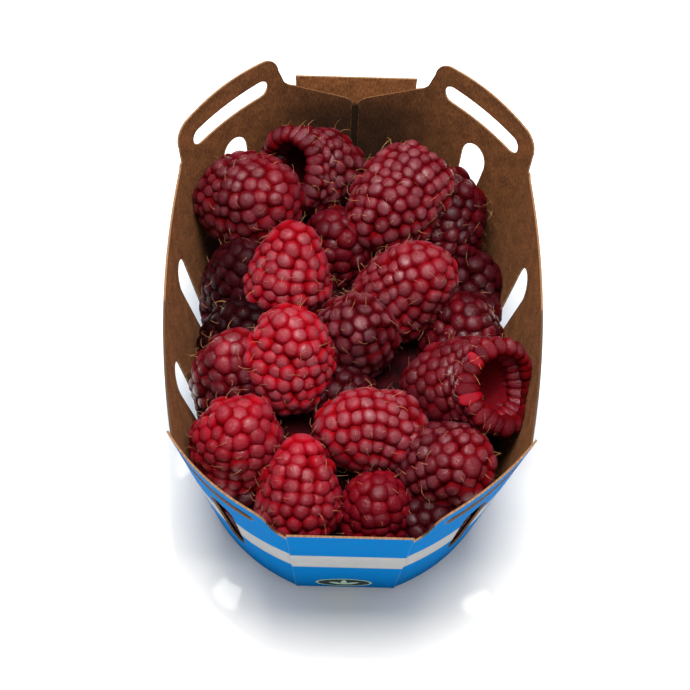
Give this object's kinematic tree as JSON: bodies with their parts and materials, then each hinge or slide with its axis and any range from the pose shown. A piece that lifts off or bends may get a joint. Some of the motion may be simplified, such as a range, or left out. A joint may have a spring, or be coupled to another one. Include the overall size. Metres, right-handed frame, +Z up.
{
  "type": "punnet of raspberries",
  "caption": "Open folded board carton with an octagonal plan, handle flaps with finger slots and tall side windows, heaped with raspberries.",
  "frame": {"origin": "middle of the carton's base, on the surface it stands on", "axes": "+Y along the length, away from the near end; +Z up; +X to the right seen from the near end"},
  "size_m": [0.0888, 0.128, 0.0559],
  "materials": {
    "board": "satin",
    "fruit": "satin"
  },
  "bodies": {
    "root": {"carton": "board", "raspberries": "fruit"}
  },
  "joints": []
}
